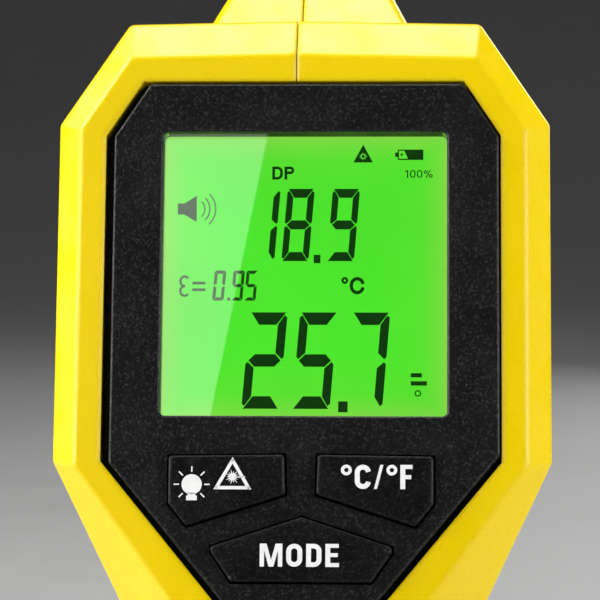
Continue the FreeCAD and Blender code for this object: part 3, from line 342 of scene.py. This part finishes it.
CARRIER = grainy_plastic(
    "carrier_black", (0.03, 0.03, 0.031), (0.045, 0.045, 0.046),
    grain=2100, depth=0.00008, rough=0.5,
)
WHITE = grainy_plastic(
    "frame_white", (0.62, 0.62, 0.59), (0.7, 0.7, 0.68), grain=2400, depth=0.00005, rough=0.45,
)
ZEBRA = grainy_plastic(
    "zebra_rubber", (0.55, 0.36, 0.3), (0.62, 0.43, 0.36), grain=1700, depth=0.00005, rough=0.6,
)
BATTERY = grainy_plastic(
    "battery_case", (0.02, 0.03, 0.09), (0.03, 0.04, 0.12),
    grain=900, depth=0.00003, rough=0.3, coat=0.3,
)
RED = grainy_plastic(
    "button_red", (0.5, 0.02, 0.012), (0.58, 0.03, 0.018), grain=2500, depth=0.00004, rough=0.4,
)
LENS = grainy_plastic(
    "lens_material", (0.5, 0.52, 0.53), (0.58, 0.6, 0.61), grain=260, depth=0.00001, rough=0.16,
)
BACKLIGHT = grainy_plastic(
    "backlight", (0.25, 0.75, 0.1), (0.3, 0.8, 0.14),
    grain=1300, depth=0.00003, rough=0.35, coat=0.2,
)
STEEL = metal("screw_steel", (0.42, 0.42, 0.43), (0.56, 0.56, 0.57), 0.3)
WIRE = metal("spring_steel", (0.4, 0.4, 0.41), (0.52, 0.52, 0.54), 0.26, (1, 6, 1))
BRASS = metal("brass", (0.55, 0.36, 0.12), (0.68, 0.47, 0.18), 0.28, (1, 1, 5))
CAN = metal("can_metal", (0.5, 0.48, 0.43), (0.62, 0.6, 0.54), 0.25)
ANODISED = metal("tube_aluminium", (0.03, 0.03, 0.032), (0.06, 0.06, 0.062), 0.4, (1, 5, 1))
BOARD = circuit_board("board_green")
CLEAR = clear_pane("window_pane")
DISPLAY = lit_display("lcd_glass")
INK_WHITE = printed("legend_white", (0.94, 0.94, 0.93))
SEGMENT = printed("segment_dark", (0.002, 0.004, 0.002), 0.6, (0.001, 0.036, 0.0))
SEGMENT_SOFT = printed("segment_soft", (0.004, 0.008, 0.004), 0.5, (0.006, 0.06, 0.003))

SLOT_MATERIALS = {
    "yellow_shell": YELLOW,
    "black_panel": BLACK,
    "window_pane": CLEAR,
    "lcd_glass": DISPLAY,
    "backlight": BACKLIGHT,
    "key_rubber": KEY_BLACK,
    "nose_black": TRIM_BLACK,
    "trigger_black": TRIM_BLACK,
    "pad_rubber": PAD_BLACK,
    "brass": BRASS,
    "screw_steel": STEEL,
    "spring_steel": WIRE,
    "lens_material": LENS,
    "tube_aluminium": ANODISED,
    "can_metal": CAN,
    "board_green": BOARD,
    "chip_black": CHIP_BLACK,
    "frame_white": WHITE,
    "carrier_black": CARRIER,
    "zebra_rubber": ZEBRA,
    "battery_case": BATTERY,
    "laser_brass": BRASS,
    "button_red": RED,
}

for entry in frame["record"]["subparts"]:
    data = NODES[entry["node"]].data
    data.materials.clear()
    data.materials.append(SLOT_MATERIALS[entry["material_slot"]])


# ---------------------------------------------------------------- drawn symbols


# Millimetres that printed and drawn shapes stand up from their level.
PRINT_HEIGHT = 0.02


def plate(name, outlines, level, material, body):
    """Thin flat shapes at a level above the panel: outlines counter-clockwise, millimetres."""
    mesh = bmesh.new()
    for outline in outlines:
        rings = [
            [mesh.verts.new(PANEL @ Vector((x * MM, y * MM, z * MM))) for x, y in outline]
            for z in (level, level + PRINT_HEIGHT)
        ]
        mesh.faces.new(rings[1])
        join_rings(mesh, rings)
    bmesh.ops.recalc_face_normals(mesh, faces=mesh.faces)
    item = add_object(name, mesh, material)
    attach(item, body)


def stroke(points, width, closed=False):
    """Quads along a path, with mitred joints, as a list of outlines."""
    path = [Vector(point) for point in points]
    count = len(path)
    half = width / 2
    pairs = []
    for index, point in enumerate(path):
        before = path[index - 1] if index or closed else None
        after = path[(index + 1) % count] if index < count - 1 or closed else None
        ahead = (after - point).normalized() if after is not None else None
        behind = (point - before).normalized() if before is not None else None
        directions = [direction for direction in (behind, ahead) if direction is not None]
        along = sum(directions, Vector((0, 0))).normalized()
        normal = Vector((-along.y, along.x))
        straight = directions[-1]
        reach = half / max(0.35, abs(normal.dot(Vector((-straight.y, straight.x)))))
        pairs.append((point - normal * reach, point + normal * reach))
    spans = range(count if closed else count - 1)
    return [
        [pairs[i][0], pairs[(i + 1) % count][0], pairs[(i + 1) % count][1], pairs[i][1]]
        for i in spans
    ]


def arc(centre, radius, start, end, steps, squeeze=1.0):
    """Points along an arc, from angle to angle in degrees; squeeze narrows it."""
    cx, cy = centre
    return [
        (cx + radius * squeeze * math.cos(math.radians(start + (end - start) * k / steps)),
         cy + radius * math.sin(math.radians(start + (end - start) * k / steps)))
        for k in range(steps + 1)
    ]


def disc(centre, radius, steps=28):
    return arc(centre, radius, 0, 360, steps)[:-1]


def bar(left, right, bottom, top):
    """An upright rectangle as an outline."""
    return [(left, bottom), (right, bottom), (right, top), (left, top)]


# Each letter or mark is one unit tall, and comes as its outlines and its width.
WEIGHT = 0.2
STEM = bar(0, WEIGHT, 0, 1)


def letter_m(width=0.93):
    middle = width / 2
    leg = WEIGHT * 0.9
    half = WEIGHT * 0.5
    return (
        [bar(0, leg, 0, 1),
         bar(width - leg, width, 0, 1),
         [(leg, 1), (leg, 0.7), (middle - half, 0), (middle, 0), (middle, 0.3), (WEIGHT * 1.4, 1)],
         [(width - WEIGHT * 1.4, 1), (middle, 0.3), (middle, 0), (middle + half, 0),
          (width - leg, 0.7), (width - leg, 1)]],
        width,
    )


def bowl_path(width, weight, first, last):
    """Half ring, straight side, half ring: a condensed round letter from angle to angle."""
    half = weight / 2
    radius = width / 2 - half
    path = arc((width / 2, 1 - half - radius), radius, first, 180, 10)
    return path + arc((width / 2, half + radius), radius, 180, last, 10)


def letter_o(width=0.66):
    return stroke(bowl_path(width, WEIGHT, 0, 360), WEIGHT, closed=True), width


def letter_c(width=0.65):
    return stroke(bowl_path(width, WEIGHT, 8, 352), WEIGHT), width


def letter_d(width=0.63):
    half = WEIGHT / 2
    radius = width * 0.5 - half
    path = [(half, half), (half, 1 - half)]
    path += arc((width - half - radius, 1 - half - radius), radius, 90, 0, 8)
    path += arc((width - half - radius, half + radius), radius, 0, -90, 8)
    return stroke(path, WEIGHT, closed=True), width


def barred(width, bars):
    """A stem with horizontal bars: each bar is its foot and how far it stops short."""
    level = [bar(WEIGHT, width - short, foot, foot + 0.17) for foot, short in bars]
    return [STEM, *level], width


def letter_e(width=0.56):
    return barred(width, ((0, 0), (0.43, 0.05), (0.83, 0.01)))


def letter_f(width=0.49):
    return barred(width, ((0.41, 0.05), (0.83, 0)))


def letter_p(width=0.6):
    half = WEIGHT / 2
    radius = 0.58 / 2 - half
    path = [(half, 0.42 + half), (half, 1 - half)]
    path += arc((width - half - radius, 1 - half - radius), radius, 90, -90, 12)
    bowl = stroke(path, WEIGHT, closed=True)
    return [STEM, *bowl], width


def degree_mark(width=0.44):
    return stroke(disc((width / 2, 1 - width / 2), width / 2 - 0.065), 0.13, closed=True), width


def oblique(width=0.38):
    return [[(0, 0), (0.125, 0), (width, 1), (width - 0.125, 1)]], width


def small_figure(figure, width=0.624, weight=0.13):
    """Thin figures for the charge level: one, nought and a per-cent sign."""
    if figure == "1":
        flag = 0.22
        outlines = [bar(flag, flag + weight, 0, 1),
                    [(0, 0.72), (flag, 0.86), (flag, 1), (0, 0.84)]]
        return outlines, flag + weight + 0.06
    if figure == "0":
        return stroke(bowl_path(width, weight, 0, 360), weight, closed=True), width
    shapes = [[(0.2, 0), (0.32, 0), (0.82, 1), (0.7, 1)]]
    shapes += stroke(disc((0.23, 0.75), 0.17), 0.12, closed=True)
    shapes += stroke(disc((0.79, 0.25), 0.17), 0.12, closed=True)
    return shapes, 1.02


def word(glyphs, left, right, bottom, height, gap=0.16):
    """Glyphs set side by side and stretched to run from left to right."""
    natural = sum(width for _, width in glyphs) + gap * (len(glyphs) - 1)
    stretch = (right - left) / natural
    outlines = []
    x = 0.0
    for shapes, width in glyphs:
        outlines += [[(left + (x + px) * stretch, bottom + py * height) for px, py in outline]
                     for outline in shapes]
        x += width + gap
    return outlines


# Levels are millimetres above the panel's plane: the tops of the keys and the display glass.
KEY_LEVEL = 1.05
SCREEN_LEVEL = -2.4

plate(
    "legend_mode",
    word([letter_m(), letter_o(), letter_d(), letter_e()], -4.2, 4.25, -31.95, 2.45),
    KEY_LEVEL, INK_WHITE, "mode_key",
)
plate(
    "legend_units",
    word([degree_mark(), letter_c(), oblique(), degree_mark(), letter_f()],
         4.4, 12.05, -23.62, 2.6, 0.12),
    KEY_LEVEL, INK_WHITE, "right_key",
)


def ray(centre, inner, outer, angle):
    """Two points on a line out from a centre."""
    x, y = centre
    across, along = math.cos(math.radians(angle)), math.sin(math.radians(angle))
    return [(x + inner * across, y + inner * along), (x + outer * across, y + outer * along)]


def bulb_symbol(x, y, radius):
    """A lamp with seven rays and a screw base below."""
    shapes = [disc((x, y), radius)]
    for angle in (-45, 0, 45, 90, 135, 180, 225):
        shapes += stroke(ray((x, y), radius * 1.24, radius * 1.78, angle), radius * 0.13)
    foot = y - radius
    shapes.append(bar(x - 0.57, x + 0.57, foot - 0.62, foot - 0.12))
    shapes.append(bar(x - 0.42, x + 0.42, foot - 0.12, foot + 0.2))
    return shapes


def burst(x, y, radius):
    """A starburst with fourteen points, long and short in turn."""
    points = 14
    shares = (1, 0.4, 0.78, 0.4)
    outline = []
    for index in range(points * 2):
        angle = math.radians(index * 180 / points)
        reach = radius * shares[index % 4]
        outline.append((x + reach * math.cos(angle), y + reach * math.sin(angle)))
    return outline


def laser_symbol(left, right, bottom, top, weight):
    """A triangle with a starburst and a beam inside: the usual sign for a light beam."""
    middle = (left + right) / 2
    corners = [(left + weight, bottom + weight / 2), (right - weight, bottom + weight / 2),
               (middle, top - weight * 1.1)]
    shapes = stroke(corners, weight, closed=True)
    shapes += [disc((x, y), weight * 0.5, 12) for x, y in corners]
    centre = bottom + (top - bottom) * 0.38
    reach = (top - bottom) * 0.24
    shapes.append(burst(middle, centre, reach))
    shapes.append(bar(middle + reach * 0.2, middle + reach * 1.6,
                      centre - reach * 0.08, centre + reach * 0.08))
    return shapes


plate(
    "legend_lamp_and_laser",
    bulb_symbol(-11.58, -23.2, 1.09) + laser_symbol(-9.3, -5.12, -23.72, -20.2, 0.36),
    KEY_LEVEL, INK_WHITE, "left_key",
)


# ---------------------------------------------------------------- display content

SEGMENTS = {"0": "abcdef", "1": "bc", "2": "abged", "5": "afgcd", "7": "abc", "8": "abcdefg",
            "9": "abcdfg"}


def digit(figure, width, height, thick, thin):
    """A seven-segment figure: thick level bars, thinner uprights, mitred ends, fine gaps."""
    gap = thin * 0.16
    middle = height / 2
    rise = thick - thin * 0.35
    parts = {
        "a": [(gap, height), (thin + gap, height - thick), (width - thin - gap, height - thick),
              (width - gap, height)],
        "d": [(gap, 0), (width - gap, 0), (width - thin - gap, thick), (thin + gap, thick)],
        "g": [(gap * 2, middle), (thin, middle - thick / 2), (width - thin, middle - thick / 2),
              (width - gap * 2, middle), (width - thin, middle + thick / 2),
              (thin, middle + thick / 2)],
        "f": [(0, height - thick * 0.4), (0, middle + thick * 0.3), (gap * 1.5, middle + gap),
              (thin, middle + thick / 2 + gap), (thin, height - rise - gap * 2),
              (thin * 0.3, height - gap * 2)],
        "e": [(0, middle - thick * 0.3), (0, thick * 0.4), (thin * 0.3, gap * 2),
              (thin, rise + gap * 2), (thin, middle - thick / 2 - gap), (gap * 1.5, middle - gap)],
    }
    parts["b"] = [(width - x, y) for x, y in reversed(parts["f"])]
    parts["c"] = [(width - x, y) for x, y in reversed(parts["e"])]
    return [parts[key] for key in SEGMENTS[figure]]


SLANT = 0.08


def figures(cells, bottom, size):
    """Slanted seven-segment figures, each with the left edge of its cell."""
    return [[(left + (x + y * SLANT), bottom + y) for x, y in outline]
            for figure, left in cells
            for outline in digit(figure, *size)]


def show(name, outlines, material=SEGMENT, lift=0.0):
    """Something drawn on the screen; lift puts it above what is already there."""
    plate(name, outlines, SCREEN_LEVEL + lift, material, "housing")


show("reading_upper", [
    *figures((("1", -6.12), ("8", -2.36), ("9", 2.62)), 1.73, (2.98, 8.07, 1.0, 0.7)),
    bar(1.2, 1.93, 1.5, 2.42),
])
show("reading_lower", [
    *figures((("2", -6.57), ("5", -1.08), ("7", 4.63)), -14.59, (4.12, 10.61, 1.37, 0.95)),
    bar(3.97, 5.0, -14.95, -13.76),
])
show("emissivity_value", [
    *figures((("0", -9.9), ("9", -7.85), ("5", -6.4)), -2.68, (1.25, 3.33, 0.36, 0.33)),
    bar(-8.25, -7.93, -2.68, -2.34),
], SEGMENT_SOFT)
show("emissivity_sign", [
    *stroke(arc((-12.93, -0.55), 0.54, 40, 275, 10, 0.9), 0.24),
    *stroke(arc((-12.93, -1.62), 0.54, 85, 320, 10, 0.9), 0.24),
    bar(-12.09, -10.65, -0.89, -0.6),
    bar(-12.09, -10.65, -1.63, -1.34),
], SEGMENT_SOFT)
show("display_units", word([degree_mark(0.4), letter_c(0.9)], 4.25, 6.8, -1.96, 1.92, 0.1))
show("display_mode", word([letter_d(0.78), letter_p(0.72)], -3.44, -1.02, 10.85, 1.46, 0.13))
show("display_laser", [[(5.5, 12.78), (7.64, 12.78), (6.57, 14.78)]])
show("display_laser_star", [burst(6.57, 13.45, 0.52)], DISPLAY, 0.02)
show("display_laser_core", [disc((6.57, 13.45), 0.17)], SEGMENT, 0.04)
show("display_battery", [
    bar(10.38, 13.19, 13.06, 14.22),
    bar(10.09, 10.38, 13.4, 13.88),
])
show("display_battery_room", [[(10.5, 13.2), (11.5, 13.2), (11.1, 14.08), (10.5, 14.08)]],
     DISPLAY, 0.02)
show("display_battery_sign", [bar(10.64, 11.0, 13.6, 13.7), bar(10.77, 10.87, 13.47, 13.83)],
     SEGMENT, 0.04)
show("display_charge", word([small_figure(mark) for mark in "100%"], 11.18, 14.22, 11.05, 0.86,
                            0.16))
show("display_bars", [bar(11.85, 13.05, -11.1, -10.64), bar(11.85, 13.6, -12.0, -11.53)])
show("display_zero", stroke(disc((12.62, -12.86), 0.29), 0.13, closed=True))
show("display_speaker", [
    bar(-13.82, -13.1, 6.92, 8.15),
    [(-13.1, 6.92), (-11.73, 6.08), (-11.73, 9.03), (-13.1, 8.15)],
], SEGMENT_SOFT)
show("display_waves", [
    quad
    for radius in (1.17, 1.72, 2.36)
    for quad in stroke(arc((-12.0, 7.52), radius, -46, 46, 10), 0.14)
], SEGMENT_SOFT)


# ---------------------------------------------------------------- trigger spring

# Millimetres, with the spring's axis along Y at x = 0.
SPRING = {"radius": 1.95, "wire": 0.25, "back": 36.3, "front": 48.4, "z": 85.4, "turns": 11}


def coil_spring(name, material):
    """The trigger's coil spring, for the plain CAD tube; a fixed mesh on the housing."""
    steps, sides = 24, 8
    mesh = bmesh.new()
    rings = []
    for index in range(SPRING["turns"] * steps + 1):
        share = index / (SPRING["turns"] * steps)
        turn = 2 * math.pi * index / steps
        outward = Vector((math.cos(turn), 0, math.sin(turn)))
        centre = outward * SPRING["radius"]
        centre.y = SPRING["back"] + (SPRING["front"] - SPRING["back"]) * share
        centre.z += SPRING["z"]
        ring = []
        for side in range(sides):
            angle = 2 * math.pi * side / sides
            offset = outward * math.cos(angle) + Vector((0, math.sin(angle), 0))
            ring.append(mesh.verts.new((centre + offset * SPRING["wire"]) * MM))
        rings.append(ring)
    join_rings(mesh, rings)
    mesh.faces.new(rings[0])
    mesh.faces.new(rings[-1])
    bmesh.ops.recalc_face_normals(mesh, faces=mesh.faces)
    for face in mesh.faces:
        face.smooth = True
    item = add_object(name, mesh, material)
    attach(item, "housing")
    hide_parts("trigger_spring")
    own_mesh(item)


coil_spring("trigger_coil", WIRE)


# ---------------------------------------------------------------- stage, light, camera


def studio_bowl(name, flat, radius, dark, light):
    """A plain floor, level out to flat, that curves up into a wall all round."""
    around = 96
    bend_steps = 30
    bend = radius - flat
    turns = [math.pi / 2 * (step / bend_steps) ** 2 for step in range(bend_steps + 1)]
    profile = [(flat + bend * math.sin(turn), bend * (1 - math.cos(turn))) for turn in turns]
    profile.append((radius, radius))
    mesh = bmesh.new()
    angles = [2 * math.pi * index / around for index in range(around)]
    rings = [
        [mesh.verts.new((distance * math.cos(angle), distance * math.sin(angle), height))
         for angle in angles]
        for distance, height in profile
    ]
    mesh.faces.new(rings[0])
    join_rings(mesh, rings)
    for face in mesh.faces:
        face.smooth = len(face.verts) == 4
    m = Nodes(name)
    where = m.place()
    m.principled(
        Base_Color=m.ramp(m.noise(where, 3.0, 4.0), (0.3, dark), (0.7, light)),
        Roughness=m.between(m.noise(where, 40.0), 0.6, 0.75, 0.3, 0.7),
    )
    add_object(name, mesh, m.material)


HEAD = (0, 0.01, 0.115)


def area_light(name, place, size, power, colour=(1, 1, 1)):
    """A soft rectangular light, in metres and watts, turned towards the head."""
    data = bpy.data.lights.new(name, "AREA")
    data.shape = "RECTANGLE"
    data.size, data.size_y = size
    data.energy = power
    data.color = colour
    item = bpy.data.objects.new(name, data)
    item.location = place
    item.rotation_euler = (Vector(HEAD) - Vector(place)).to_track_quat("-Z", "Y").to_euler()
    item.visible_camera = False
    bpy.context.scene.collection.objects.link(item)
    return item


studio_bowl("floor", 1.2, 3.4, (0.38, 0.38, 0.375), (0.41, 0.41, 0.405))

area_light("left_light", (-0.56, -0.33, 0.25), (0.25, 0.35), 2.15, (1, 0.99, 0.97))
area_light("right_light", (0.56, -0.33, 0.25), (0.25, 0.35), 3.4, (0.98, 0.99, 1))
area_light("left_card", (-0.61, -0.03, 0.23), (0.2, 0.4), 2.5)
area_light("right_card", (0.61, -0.03, 0.23), (0.2, 0.4), 0.6)
area_light("corner_card", (-0.474, 0.09, 0.507), (0.26, 0.26), 3.2)
area_light("top_light", (0, 0.15, 0.72), (0.42, 0.2), 2.6)
area_light("front_light", (0.3, 0.75, 0.3), (0.4, 0.4), 1.6)

# A narrow strip whose mirror image lies slanted across the left of the display window.
glare = area_light("glare_light", (0, 0, 0), (0.036, 0.088), 0.0095)
GLARE_PLACE = (-0.0413, 0.0422, 0.25)
GLARE_SLANT = -0.188
glare.matrix_world = PANEL @ Matrix.Translation(GLARE_PLACE) @ Matrix.Rotation(GLARE_SLANT, 4, "Z")

world = bpy.data.worlds.new("studio")
world.use_nodes = True
background = world.node_tree.nodes["Background"]
background.inputs["Color"].default_value = (0.9, 0.92, 0.95, 1)
background.inputs["Strength"].default_value = 0.06
bpy.context.scene.world = world

camera = bpy.data.cameras.new("camera")
camera.sensor_width = 36
camera.lens = 165.9
camera.clip_start = 0.01
camera.clip_end = 100
eye = bpy.data.objects.new("camera", camera)
EYE_PLACE = (0.0117, -0.2871, 0.1430)
EYE_RIGHT = Vector((0.99921, 0.03957, -0.00205))
EYE_UP = Vector((-0.00177, 0.09634, 0.99534))
EYE_TURN = Matrix((EYE_RIGHT, EYE_UP, EYE_RIGHT.cross(EYE_UP))).transposed().to_4x4()
eye.matrix_world = Matrix.Translation(EYE_PLACE) @ EYE_TURN
bpy.context.scene.collection.objects.link(eye)
bpy.context.scene.camera = eye
bpy.context.scene.view_settings.view_transform = "Standard"
